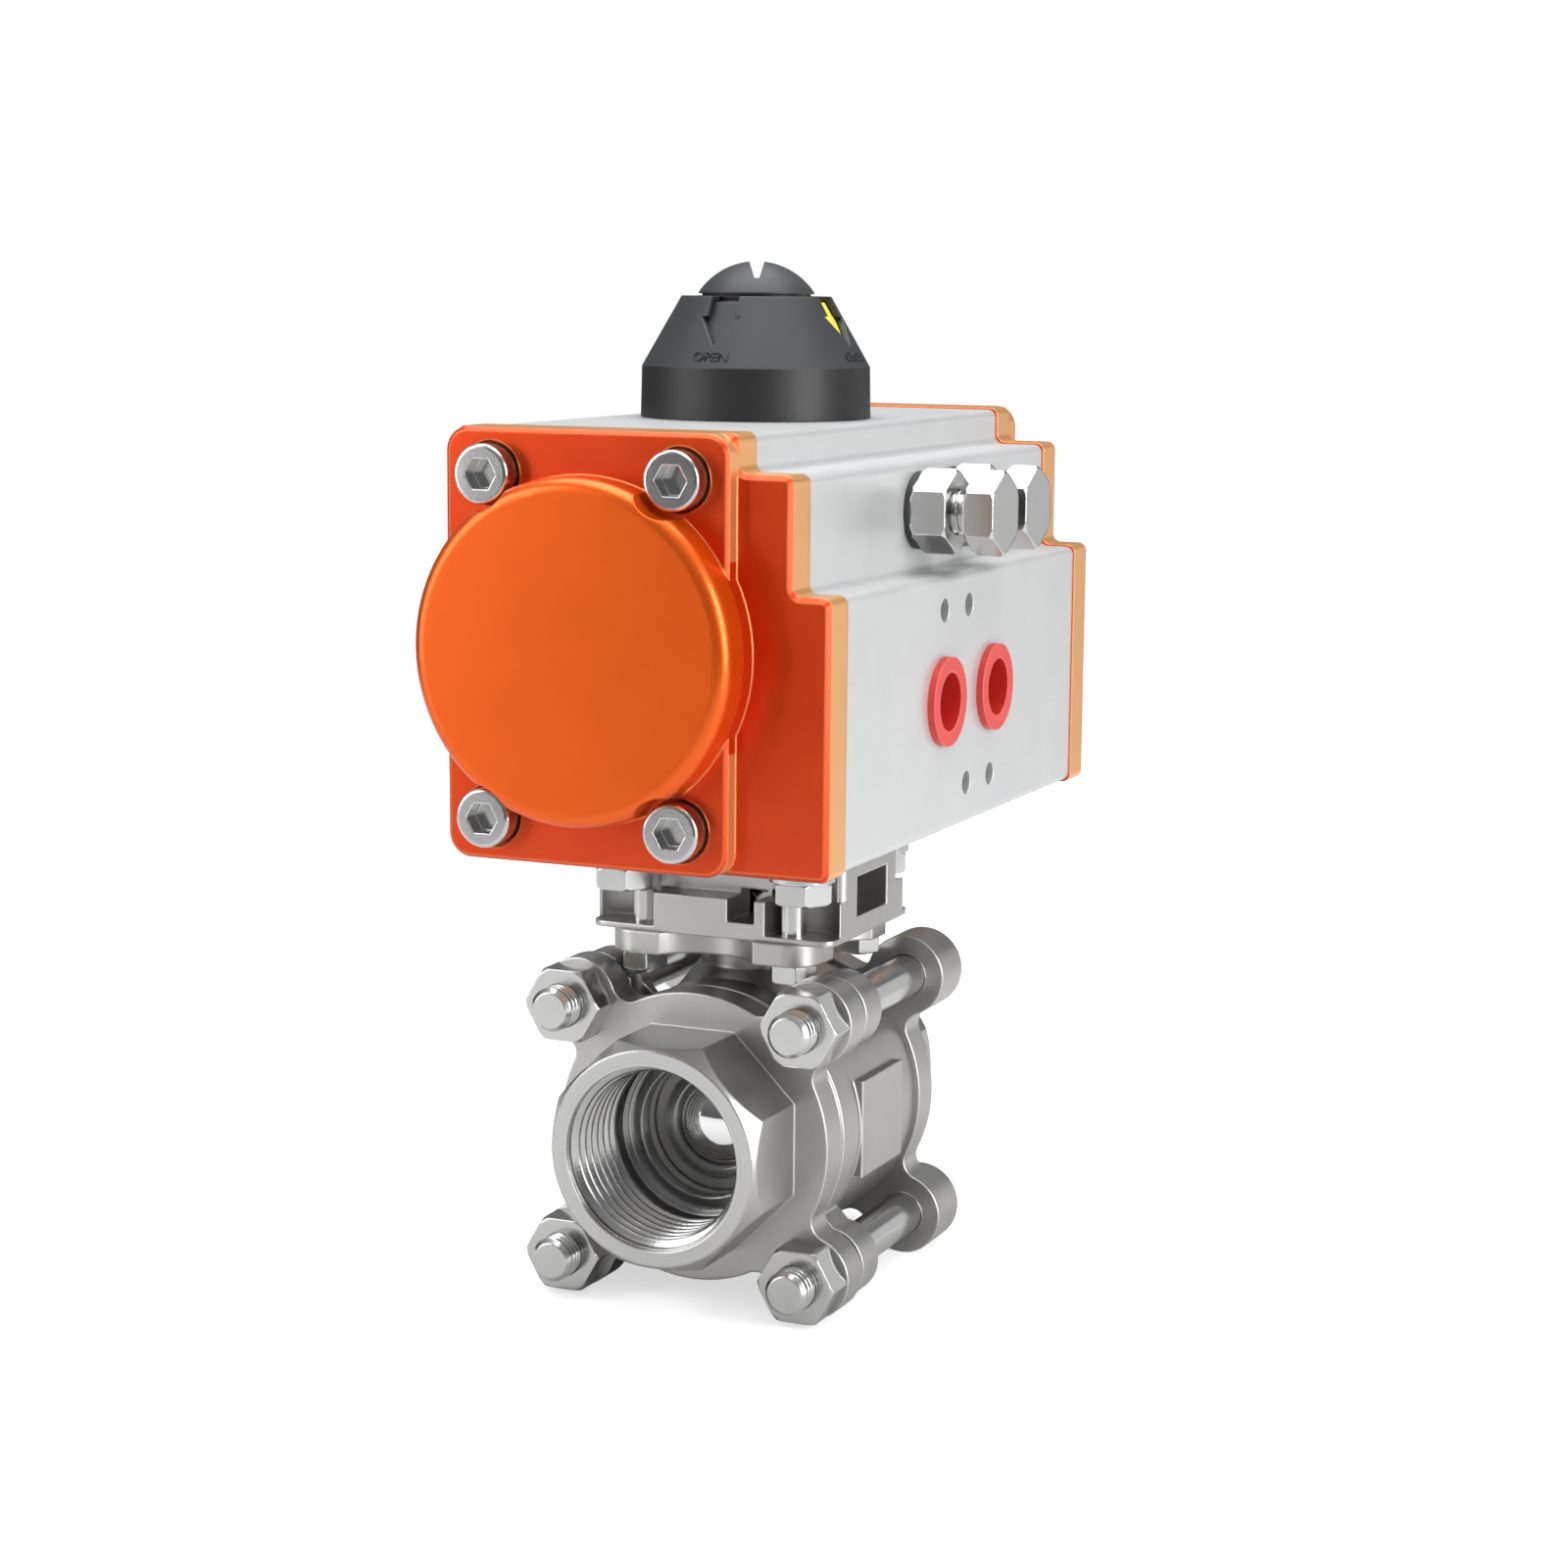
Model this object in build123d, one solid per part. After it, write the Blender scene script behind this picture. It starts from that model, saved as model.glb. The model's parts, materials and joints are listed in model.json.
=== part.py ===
"""Pneumatic actuated ball valve: a three-piece threaded DN25 ball valve with a cast
bracket and a double acting rack-and-pinion actuator, drawn closed.

Frame in millimetres: +Z up along the stem, +Y along the flow, +X towards the air ports.
The origin is the centre of the inlet port's mouth. Solids are drawn about the ball's
centre and are shifted by half the face-to-face length when they are exported.
"""
from build123d import *
import math
import os

# ---------------------------------------------------------------- driving dimensions
FACE_TO_FACE = 85.0      # valve, port mouth to port mouth
BALL_R = 19.5
BARREL_R = 25.6          # centre casting
BORE_R = 12.5            # full bore of a DN25 valve
PORT_R = 16.6            # major radius of the 1 inch pipe thread
PORT_DEPTH = 19.0
OCTAGON_FLAT = 20.0      # half the distance across the wrench flats
FLANGE_FACE = 25.5       # where the tie nuts seat, from the ball's centre
FLANGE_T = 6.5
TURNED = 4.0             # length of the turned chamfer on the wrench section
LUG_END = 31.0           # end of the outlet side's lugs, from the ball's centre
STUD_END = 28.5
STUD_TIP = 36.5
EAR_T = 7.0              # lugs of the centre casting
FLANGE_R = 26.5
LUG_R = 7.6
TIE_X = 23.2             # tie bolts on a square, half its side
TIE_D = 8.0
SPIGOT_R = 21.0          # end piece's register in the centre casting
NECK_R = 9.5
STEM_R = 6.0
STEM_HALF = 4.5          # half the side of the stem's square head
SHOULDER_R = 8.0         # stem's shoulder, and the packing chamber above it
SHOULDER_Z0, SHOULDER_Z = 19.5, 21.4
PACKING_Z, GLAND_Z = 27.0, 31.0
TONGUE_HALF = 2.5

BASE_Z = 56.6            # underside of the actuator above the ball's centre
ACT_H = 71.5             # height of the actuator's body
BODY_Y = 56.75           # half length of the extruded body
CAP_Y = 64.2             # front of an end cap's stepped part
PLATE_Y = 67.6           # front of an end cap's raised plate
BOSS_Y = 74.5            # front of an end cap's round boss
BULGE_R = 29.5           # round flank of the extrusion on its -X side
TOP_X, MID_X, LOW_X = 25.5, 35.1, 41.9
MID_Z, LOW_Z = 65.0, 45.6     # tops of the middle and the low step
CYL_R = 26.0
CYL_Z = 35.75            # cylinder axis above the actuator's underside
CAM_Z = 56.5             # stop screws and stop cam
STOP_Y = 8.5
STOP_HEAD_X = 46.0
CAP_BOLT_X, CAP_BOLT_Z = 17.3, 28.6
PORT_Z = 23.5            # air ports
PORT_Y = 12.0
PORT_HOLE_Z = 16.0

MODULE = 1.25
TEETH = 16
PITCH_R = MODULE * TEETH / 2
PISTON_IN, PISTON_OUT = 24.0, 37.0    # a piston head's two faces, pistons inwards
SEAL_Y, SEAL_W, SEAL_DEPTH = 33.2, 2.8, 2.4       # piston's seal groove
GUIDE_Y, GUIDE_W, GUIDE_DEPTH = 28.0, 3.2, 1.6    # piston's guide groove
RACK_BACK = 19.0         # back of the rack from the pinion's axis
RACK_HALF = 7.0          # half the rack's height
TOOTH_HALF = 9.5         # half the pinion's face width
JOURNAL_R, JOURNAL_TOP_R = 9.0, 7.0   # pinion's lower and upper journal
BUSH_R, BUSH_TOP_R = 11.0, 9.0
DRIVE_HALF = 5.4         # half the side of the coupling's square
TOP_HALF = 4.5           # half the side of the pinion's square above the body
CAM_R, CAM_BORE, CAM_HALF = 16.4, 8.0, 3.5
STOP_R = 4.0
AIR_R = 5.8
SEAT_DEPTH = 1.8         # counterbores of the end caps' screws
FIT = 0.05               # clearance of a close fit, each side

F05, F04 = 17.68, 14.85  # half the side of each bolt square
BRACKET_HALF = 24.0
BRACKET_H = 21.0
FOOT_T = 7.2             # kept under the actuator bolts' heads
PAD_TOP = BASE_Z - BRACKET_H
PAD_T = 4.0
HEAD_Z = 9.4             # actuator bolts' heads below the actuator's underside
STEM_SQ_Z, STEM_TOP_Z = 17.0, 7.0     # stem's square below the actuator's underside
HOUSING_H = 21.7         # position indicator above the actuator's top
HOUSING_WALL = 0.8
HOUSING_R = 20.8
DRUM_R = 10.0            # indicator's rotor
DRUM_LOW, DRUM_TOP = 11.0, 21.0
DOME_R, DOME_TOP = 12.6, 27.9
SLOT_TURN = 24           # degrees, how the screw's slot was left
RUN = 0.06               # radial running clearance

parts = {}


def z_cyl(r, z0, z1, x=0.0, y=0.0):
    """Cylinder along Z between two heights."""
    return Pos(x, y, (z0 + z1) / 2) * Cylinder(r, z1 - z0)


def y_cyl(r, y0, y1, x=0.0, z=0.0):
    """Cylinder along Y between two stations."""
    return Pos(x, (y0 + y1) / 2, z) * Rot(90, 0, 0) * Cylinder(r, y1 - y0)


def x_cyl(r, x0, x1, y=0.0, z=0.0):
    """Cylinder along X between two stations."""
    return Pos((x0 + x1) / 2, y, z) * Rot(0, 90, 0) * Cylinder(r, x1 - x0)


def box(x0, x1, y0, y1, z0, z1):
    """Box between two corners."""
    centre = Pos((x0 + x1) / 2, (y0 + y1) / 2, (z0 + z1) / 2)
    return centre * Box(x1 - x0, y1 - y0, z1 - z0)


def square_bar(half, z0, z1):
    """Square prism about Z."""
    return box(-half, half, -half, half, z0, z1)


def ring(r_out, r_in, z0, z1):
    """Plain washer or bush about Z."""
    return z_cyl(r_out, z0, z1) - z_cyl(r_in, z0 - 1, z1 + 1)


def prism(sketch, z0, z1):
    """Extrudes a flat sketch from one height to another."""
    return Pos(0, 0, z0) * extrude(sketch, z1 - z0)


def hexagon(flat, z0, z1):
    """Hexagonal prism about Z with its corner edges turned down at both ends."""
    corner = flat / 2 / math.cos(math.pi / 6)
    body = prism(RegularPolygon(flat / 2, 6, major_radius=False), z0, z1)
    turn = (corner - flat / 2) * 0.6
    blank = chamfer(z_cyl(corner, z0, z1).edges(), turn)
    return body & blank


def threaded_rod(d, pitch, length):
    """Rod about Z whose thread is a row of turned grooves, with a chamfered tip at the top."""
    r, depth = d / 2, 0.6 * pitch
    turns = int((length - 0.8) / pitch)
    points = [(0, 0), (r, 0)]
    for i in range(turns):
        low = i * pitch
        points += [(r, low + 0.1 * pitch), (r - depth, low + 0.5 * pitch), (r, low + 0.9 * pitch)]
    points += [(r, length - 0.8), (r - 0.8, length), (0, length)]
    outline = make_face(Polyline(*[(x, 0, z) for x, z in points], close=True))
    return revolve(outline, Axis.Z)


def groups(shape, places):
    """Copies of one solid at several places, as one group."""
    return Compound(children=[place * shape for place in places])


def square(x, y, z=0.0):
    """Four places on a rectangle about Z."""
    return [Pos(sx * x, sy * y, z) for sx in (-1, 1) for sy in (-1, 1)]


def at_base(shape):
    """Moves a solid drawn from the actuator's underside to its height on the valve."""
    return Pos(0, 0, BASE_Z) * shape


# ---------------------------------------------------------------- valve
def lug_places():
    """X and Z of the four tie bolts."""
    return [(sx * TIE_X, sz * TIE_X) for sx in (-1, 1) for sz in (-1, 1)]


def flange(y0, y1, disc_r, lug_r, web):
    """Round plate with four lugs on diagonal webs, between two Y stations."""
    shape = y_cyl(disc_r, y0, y1)
    for x, z in lug_places():
        shape += y_cyl(lug_r, y0, y1, x, z)
        arm = Pos(x * 0.6, (y0 + y1) / 2, z * 0.6) * Rot(0, -math.degrees(math.atan2(z, x)), 0)
        shape += arm * Box(TIE_X * 1.1, y1 - y0, web)
    return shape


def end_cap(blind):
    """End piece: lugged flange, octagonal wrench section and threaded port.

    With blind set, its lugs are deep rounded bosses that the tie studs screw into."""
    mouth = -FACE_TO_FACE / 2
    plate = flange(-FLANGE_FACE, -FLANGE_FACE + FLANGE_T, FLANGE_R, LUG_R, 2 * LUG_R - 2)
    vertical = plate.edges().filter_by(Axis.Y)
    plate = fillet([e for e in vertical if e.length > FLANGE_T - 0.1], 3.0)
    octagon = Rot(90, 0, 0) * prism(Rot(0, 0, 22.5) * RegularPolygon(OCTAGON_FLAT, 8, major_radius=False),
                                    FLANGE_FACE - 0.5, -mouth)
    corner = OCTAGON_FLAT / math.cos(math.pi / 8) + 0.3
    turned = Pos(0, mouth + TURNED / 2, 0) * Rot(90, 0, 0) * Cone(corner, OCTAGON_FLAT - 0.5, TURNED)
    octagon = octagon & (turned + y_cyl(corner, mouth + TURNED, -10))
    spigot = y_cyl(SPIGOT_R, -FLANGE_FACE + FLANGE_T - 0.5, -FLANGE_FACE + FLANGE_T + 1.5)
    cap = plate + octagon + spigot
    if blind:
        boss = fillet(y_cyl(LUG_R, -LUG_END, -FLANGE_FACE + 1).faces().sort_by(Axis.Y)[0].edges(), 2.4)
        cap += [Pos(x, 0, z) * boss for x, z in lug_places()]
    cap -= y_cyl(PORT_R, mouth - 1, mouth + PORT_DEPTH)
    cap -= y_cyl(PORT_R + 0.5, mouth + PORT_DEPTH - 0.5, mouth + PORT_DEPTH + 1.0)
    cap -= y_cyl(15.2, mouth, mouth + PORT_DEPTH + 3.0)
    cap -= y_cyl(BORE_R, mouth, 0)
    depth = STUD_END + 0.4 if blind else FLANGE_FACE + 1
    return cap - [y_cyl(TIE_D / 2 + FIT, -depth, 0, x, z) for x, z in lug_places()]


def valve_body():
    """Centre casting: barrel, thin guide lugs, neck and the square mounting pad."""
    inner = FLANGE_FACE - FLANGE_T
    barrel = y_cyl(BARREL_R, -inner, inner)
    panel = box(20.0, BARREL_R + 0.4, -8.0, 11.0, -9.0, 9.0)
    body = barrel + panel + Rot(0, 0, 180) * Pos(0, -3.0, 0) * panel
    body += flange(-inner + 2.0, -inner + 2.0 + EAR_T, BARREL_R + 0.5, LUG_R - 0.6, 2 * LUG_R - 4)
    body += z_cyl(NECK_R, 15, PAD_TOP - PAD_T + 1)
    body += Pos(0, 0, 24.5) * Cone(15.0, NECK_R, 7.0)
    pad = prism(RectangleRounded(2 * F04 + 11, 2 * F04 + 11, 5.5), PAD_TOP - PAD_T, PAD_TOP)
    for angle in (0, 90, 180, 270):
        pad -= Rot(0, 0, angle) * z_cyl(11.0, PAD_TOP - 10, PAD_TOP + 1, 0, 2 * F04 - 3.5)
    body += pad
    cuts = [place * z_cyl(2.75, 20, PAD_TOP + 1) for place in square(F04, F04)]
    cuts += [place * z_cyl(5.2, 26.0, PAD_TOP - PAD_T) for place in square(F04, F04)]
    cuts += [Sphere(BALL_R + 1.0), y_cyl(18.5, -inner - 1, inner + 1)]
    cuts += [y_cyl(SPIGOT_R + 0.1, -inner - 1, -inner + 1.6), y_cyl(SPIGOT_R + 0.1, inner - 1.6, inner + 1)]
    cuts += [z_cyl(STEM_R + RUN, 10, PAD_TOP + 1), z_cyl(SHOULDER_R + 0.1, 0, SHOULDER_Z + 0.6),
             z_cyl(SHOULDER_R, PACKING_Z, PAD_TOP + 1)]
    cuts += [y_cyl(TIE_D / 2 + 0.3, -inner - 2, inner + 2, x, z) for x, z in lug_places()]
    return body - cuts


def ball():
    """Ball with its bore across the flow, and the slot that takes the stem's tongue."""
    solid = Sphere(BALL_R) - x_cyl(BORE_R, -30, 30)
    return solid - box(-12, 12, -TONGUE_HALF - 0.1, TONGUE_HALF + 0.1, 14.5, 25)


def seat():
    """Soft seat ring on the inlet side, with a cone that the ball bears on."""
    contact = 14.2
    back = FLANGE_FACE - FLANGE_T - 1.5
    front = math.sqrt((BALL_R + RUN) ** 2 - contact ** 2)
    points = [(12.6, -back), (18.4, -back), (18.4, -front + 2.4), (contact + 1.5, -front + 1.9),
              (12.6, -math.sqrt((BALL_R + RUN) ** 2 - 12.6 ** 2) - 0.25)]
    face = make_face(Polyline(*[(x, y, 0) for x, y in points], close=True))
    return revolve(face, Axis.Y) - Sphere(BALL_R + RUN)


def stem():
    """Blow-out proof stem: tongue, shoulder, shaft and square head."""
    shape = box(-7.0, 7.0, -TONGUE_HALF, TONGUE_HALF, 14.8, SHOULDER_Z0) & z_cyl(7.9, 14, 20)
    shape += z_cyl(SHOULDER_R, SHOULDER_Z0, SHOULDER_Z)
    shape += z_cyl(STEM_R, SHOULDER_Z, BASE_Z - STEM_SQ_Z)
    shape += square_bar(STEM_HALF, BASE_Z - STEM_SQ_Z, BASE_Z - STEM_TOP_Z) & z_cyl(STEM_R, 0, BASE_Z)
    return shape


def make_valve():
    """Valve: end pieces, centre casting, ball, seats and stem."""
    parts["inlet_end_cap"] = end_cap(False)
    parts["outlet_end_cap"] = Rot(0, 0, 180) * end_cap(True)
    parts["valve_body"] = valve_body()
    parts["ball"] = ball()
    parts["inlet_seat"] = seat()
    parts["outlet_seat"] = Rot(0, 0, 180) * seat()
    parts["stem"] = stem()
    parts["stem_thrust_washer"] = ring(SHOULDER_R + FIT, STEM_R + RUN, SHOULDER_Z, SHOULDER_Z + 0.6)
    parts["stem_packing"] = ring(SHOULDER_R - FIT, STEM_R + RUN, PACKING_Z, GLAND_Z)
    parts["packing_gland"] = ring(SHOULDER_R - 0.1, STEM_R + RUN, GLAND_Z, PAD_TOP + 0.15)
    disc = Cone(8.6, 6.4, 1.2) - Cylinder(STEM_R + RUN, 4)
    parts["spring_washers"] = groups(disc, [Pos(0, 0, PAD_TOP + 0.8), Pos(0, 0, PAD_TOP + 2.2)])
    parts["stem_nut"] = hexagon(15, PAD_TOP + 2.9, PAD_TOP + 6.4) - z_cyl(STEM_R, 0, 99)


def tie_stud():
    """Stud along Y: screwed into the outlet side's lug, its threaded tip out of the inlet nut."""
    thread = 16.0
    plain = y_cyl(3.95, -STUD_TIP + thread - 0.5, STUD_END)
    return plain + Pos(0, -STUD_TIP + thread, 0) * Rot(90, 0, 0) * threaded_rod(TIE_D, 1.25, thread)


def tie_nut():
    """Hexagon nut seated on the inlet flange."""
    nut = hexagon(13, 0, 6.5) - z_cyl(TIE_D / 2, -1, 9)
    return Pos(0, -FLANGE_FACE, 0) * Rot(90, 0, 0) * nut


def make_tie_bolts():
    """The four tie studs and their nuts."""
    places = [Pos(x, 0, z) for x, z in lug_places()]
    parts["tie_studs"] = groups(tie_stud(), places)
    parts["tie_nuts"] = groups(tie_nut(), places)


# ---------------------------------------------------------------- bracket and coupling
def bracket():
    """Cast bracket: top plate, narrower column with side windows, and a thick slotted foot."""
    h, low = BRACKET_HALF, -BRACKET_H
    block = prism(RectangleRounded(2 * h, 2 * h, 5.0), -8.0, 0)
    block += prism(RectangleRounded(2 * h, 26.0, 2.0), low, -7.0)
    block += prism(RectangleRounded(2 * h, 2 * F04 + 8.5, 3.0), low, low + FOOT_T)
    cuts = [box(-h - 1, h + 1, -7.2, 7.2, low + 3.6, -10.0), z_cyl(9.7, low - 1, 1)]
    cuts += [place * z_cyl(3.3, -12, 1) for place in square(F05, F05)]
    cuts += [place * z_cyl(6.8, -20, -8.0) for place in square(F05, F05)]
    cuts += [place * z_cyl(2.3, low - 1, -12.0) for place in square(F04, F04)]
    cuts.append(box(3.6, 9.0, -h, h, low + 3.0, low + FOOT_T + 1))
    return at_base(block - cuts)


def coupling():
    """Drive coupling from the stem's square to the pinion's square socket."""
    shape = z_cyl(9.0, -13.8, -0.6)
    shape += square_bar(DRIVE_HALF, -0.7, 9.5) & z_cyl(7.2, -1, 10)
    shape -= square_bar(STEM_HALF + FIT, -15, -6.9)
    return at_base(shape)


def hex_bolt(d, flat, head, length):
    """Hexagon bolt pointing up, its head's top face at zero height."""
    return hexagon(flat, -head, 0) + z_cyl(d / 2, 0, length)


def make_bracket():
    """Bracket, coupling and the bolts that hold them."""
    parts["bracket"] = bracket()
    parts["drive_coupling"] = coupling()
    parts["actuator_bolts"] = groups(hex_bolt(6, 10, 4.0, 17.0), square(F05, F05, BASE_Z - HEAD_Z))
    parts["bolt_washers"] = groups(ring(6.0, 3.2, 0, 1.4), square(F05, F05, BASE_Z - HEAD_Z))
    parts["pad_bolts"] = groups(hex_bolt(4.4, 8, 3.5, 11.0), square(F04, F04, PAD_TOP - PAD_T))


# ---------------------------------------------------------------- actuator
def section(grow=0.0):
    """Outline of the stepped extrusion in X and Z, seen along +Y."""
    g = grow
    points = [(-TOP_X - g, -g), (-TOP_X - g, ACT_H + g),
              (TOP_X + g, ACT_H + g), (TOP_X + g, MID_Z + g), (MID_X + g, MID_Z + g),
              (MID_X + g, LOW_Z + g), (LOW_X + g, LOW_Z + g), (LOW_X + g, -g)]
    return make_face(Polyline(*[(x, 0, z) for x, z in points], close=True))


def bar(y0, y1, grow=0.0):
    """The stepped outline and its round flank carried from one Y station to another."""
    shape = Pos(0, y0, 0) * extrude(section(grow), y1 - y0, dir=(0, 1, 0))
    shape = fillet(shape.edges().filter_by(Axis.Y), 1.6)
    return shape + y_cyl(BULGE_R + grow, y0, y1, 0, CYL_Z)


def cap_bolt_places():
    """X and Z of the four screws of an end cap, from the actuator's underside."""
    return [(sx * CAP_BOLT_X, CYL_Z + sz * CAP_BOLT_Z) for sx in (-1, 1) for sz in (-1, 1)]


def actuator_body():
    """Stepped extrusion with its cylinder, bearing bores, stop screw holes and air ports."""
    cuts = [y_cyl(CYL_R, -BODY_Y - 1, BODY_Y + 1, 0, CYL_Z)]
    cuts += [z_cyl(17.6, 48, CAM_Z + 4.2), z_cyl(BUSH_R, -1, 20), z_cyl(BUSH_TOP_R, 55, ACT_H + 1)]
    for y in (-STOP_Y, STOP_Y):
        cuts.append(x_cyl(STOP_R + RUN, 10, MID_X + 1, y, CAM_Z))
    for y in (-PORT_Y, PORT_Y):
        cuts.append(x_cyl(AIR_R, LOW_X - 10, LOW_X + 1, y, PORT_Z))
    cuts.append(x_cyl(2.0, 15, LOW_X - 5, -PORT_Y, PORT_Z))
    cuts.append(y_cyl(1.6, -BODY_Y - 1, BODY_Y + 1, 34.0, 12.0))
    cuts.append(z_cyl(1.6, 12.0, PORT_Z, 34.0, PORT_Y))
    for y, z in ((-PORT_Y, PORT_HOLE_Z), (0, PORT_HOLE_Z), (0, -PORT_HOLE_Z), (PORT_Y, -PORT_HOLE_Z)):
        cuts.append(x_cyl(2.1, LOW_X - 8, LOW_X + 1, y, PORT_Z + z))
    cuts += [place * z_cyl(3.0 + RUN, -1, 8.2) for place in square(F05, F05)]
    for x, z in cap_bolt_places():
        cuts.append(y_cyl(2.6, -BODY_Y - 1, -BODY_Y + 16, x, z))
        cuts.append(y_cyl(2.6, BODY_Y - 16, BODY_Y + 1, x, z))
    return at_base(bar(-BODY_Y, BODY_Y) - cuts)


def actuator_cap():
    """Front end cap: stepped plate, raised plate with four screws, round boss, hollow inside."""
    cap = bar(-CAP_Y, -BODY_Y, 0.35)
    cap = chamfer(cap.faces().sort_by(Axis.Y)[0].edges(), 0.8)
    plate = Pos(0, -PLATE_Y, ACT_H / 2) * Rot(-90, 0, 0) * extrude(
        RectangleRounded(2 * TOP_X + 0.7, ACT_H + 0.7, 4.0), PLATE_Y - CAP_Y + 1.5)
    plate = chamfer(plate.faces().sort_by(Axis.Y)[0].edges(), 0.6)
    boss = y_cyl(28.8, -BOSS_Y, -CAP_Y + 1, 0, CYL_Z)
    boss = fillet(boss.faces().sort_by(Axis.Y)[0].edges(), 2.4)
    cap += plate + boss
    cap -= y_cyl(CYL_R - 2.5, -BOSS_Y + 5, -BODY_Y + 1, 0, CYL_Z)
    for x, z in cap_bolt_places():
        cap -= y_cyl(6.2, -BOSS_Y - 1, -PLATE_Y, x, z)
        cap -= y_cyl(5.4, -PLATE_Y - 1, -PLATE_Y + SEAT_DEPTH, x, z)
        cap -= y_cyl(2.9, -BOSS_Y, -BODY_Y + 1, x, z)
    return at_base(cap)


def cap_screw():
    """M5 socket head screw with a 10 mm head, pointing along +Y."""
    head = fillet(z_cyl(5.0, 0, 5.6).edges().sort_by(Axis.Z)[-1], 0.6)
    head -= prism(RegularPolygon(2.5, 6, major_radius=False), 2.6, 6)
    screw = head + z_cyl(2.55, -22.0, 0)
    return Pos(0, -PLATE_Y + SEAT_DEPTH, 0) * Rot(90, 0, 0) * screw


def gear():
    """Involute pinion teeth about Z with a tooth gap pointing along +X and -X."""
    pressure = math.radians(20)
    base_r = PITCH_R * math.cos(pressure)
    tip_r, root_r = PITCH_R + 0.9 * MODULE, PITCH_R - 1.25 * MODULE
    slack = 0.10 / PITCH_R
    half_pitch = math.pi / 2 / TEETH - slack + math.tan(pressure) - pressure
    flank = []
    steps = 6
    start = max(base_r, root_r)
    for i in range(steps + 1):
        r = start + (tip_r - start) * i / steps
        a = math.acos(base_r / r)
        flank.append((r, half_pitch - (math.tan(a) - a)))
    points = []
    for k in range(TEETH):
        middle = 2 * math.pi * (k + 0.5) / TEETH
        side = [(root_r, -flank[0][1])] + [(r, -t) for r, t in flank]
        side += [(r, t) for r, t in reversed(flank)] + [(root_r, flank[0][1])]
        points += [(r * math.cos(middle + t), r * math.sin(middle + t)) for r, t in side]
    return make_face(Polyline(*points, close=True))


def pinion():
    """Output pinion: journals, teeth, bottom square socket and top square."""
    shape = prism(gear(), CYL_Z - TOOTH_HALF, CYL_Z + TOOTH_HALF)
    shape += z_cyl(JOURNAL_R - RUN, 0.3, CYL_Z - TOOTH_HALF + 0.1)
    shape += z_cyl(CAM_BORE, CYL_Z + TOOTH_HALF - 0.1, 60.4)
    shape += z_cyl(JOURNAL_TOP_R - RUN, 60.0, ACT_H + 2.4)
    shape += square_bar(TOP_HALF, ACT_H + 2.0, ACT_H + 15) & z_cyl(5.6, 0, 99)
    shape -= ring(9, 6.2, ACT_H + 0.9, ACT_H + 2.0)
    shape -= square_bar(DRIVE_HALF + FIT, -1, 11.5) & z_cyl(7.25, -1, 12)
    shape -= z_cyl(2.5, ACT_H + 4, ACT_H + 16)
    return at_base(shape)


def stop_cam():
    """Cam with two opposite lobes; each meets one stop screw at the end of the quarter turn."""
    flat = 12.0
    lobe = box(0, flat, 0, flat, CAM_Z - CAM_HALF, CAM_Z + CAM_HALF)
    cam = z_cyl(10.5, CAM_Z - CAM_HALF, CAM_Z + CAM_HALF) + lobe + Rot(0, 0, 180) * lobe
    cam &= z_cyl(CAM_R, 0, 99)
    return at_base(cam - z_cyl(CAM_BORE, 0, 99))


def piston():
    """Front piston: head with ring grooves and a rack that runs past the pinion's -X side."""
    head = y_cyl(CYL_R - 0.25, -PISTON_OUT, -PISTON_IN, 0, CYL_Z)
    for y, width, depth in ((-SEAL_Y, SEAL_W, SEAL_DEPTH), (-GUIDE_Y, GUIDE_W, GUIDE_DEPTH)):
        groove = y_cyl(CYL_R + 1, y - width / 2, y + width / 2, 0, CYL_Z)
        head -= groove - y_cyl(CYL_R - depth, y - width, y + width, 0, CYL_Z)
    head -= y_cyl(18.0, -PISTON_OUT - 1, -PISTON_OUT + 5, 0, CYL_Z)
    pitch = math.pi * MODULE
    root, tip = -PITCH_R - 1.1 * MODULE, -PITCH_R + 0.8 * MODULE
    lean = math.tan(math.radians(20))
    half = pitch / 4 - 0.09
    outline = [(-RACK_BACK, -PISTON_IN - 1), (root, -PISTON_IN - 1)]
    for k in range(-5, 6):
        y = k * pitch
        for x, side in ((root, -1), (tip, -1), (tip, 1), (root, 1)):
            outline.append((x, y + side * (half - lean * (x + PITCH_R))))
    outline += [(root, 22.0), (-RACK_BACK, 22.0)]
    rack = prism(make_face(Polyline(*outline, close=True)), CYL_Z - RACK_HALF, CYL_Z + RACK_HALF)
    strut = box(-22.0, -17.5, -PISTON_IN - 1, 18.0, CYL_Z - RACK_HALF, CYL_Z + RACK_HALF)
    return at_base(head + rack + (strut & y_cyl(CYL_R - 1.6, -60, 60, 0, CYL_Z)))


def piston_ring(y, width, r_in):
    """Seal or guide ring in one of the front piston's grooves."""
    ring_y = y_cyl(CYL_R - RUN, y - width / 2, y + width / 2, 0, CYL_Z)
    return at_base(ring_y - y_cyl(r_in, -60, 60, 0, CYL_Z))


def stop_screw():
    """Hexagon head stop screw along -X, drawn on its own axis with the nut face at MID_X."""
    tip = 12.04
    rod = threaded_rod(7.9, 1.25, STOP_HEAD_X - tip - 4.0) + z_cyl(2.6, 5, STOP_HEAD_X - tip)
    screw = rod + Rot(180, 0, 0) * hexagon(13, 0, 5.5)
    return Pos(STOP_HEAD_X, 0, 0) * Rot(0, -90, 0) * screw


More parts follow.
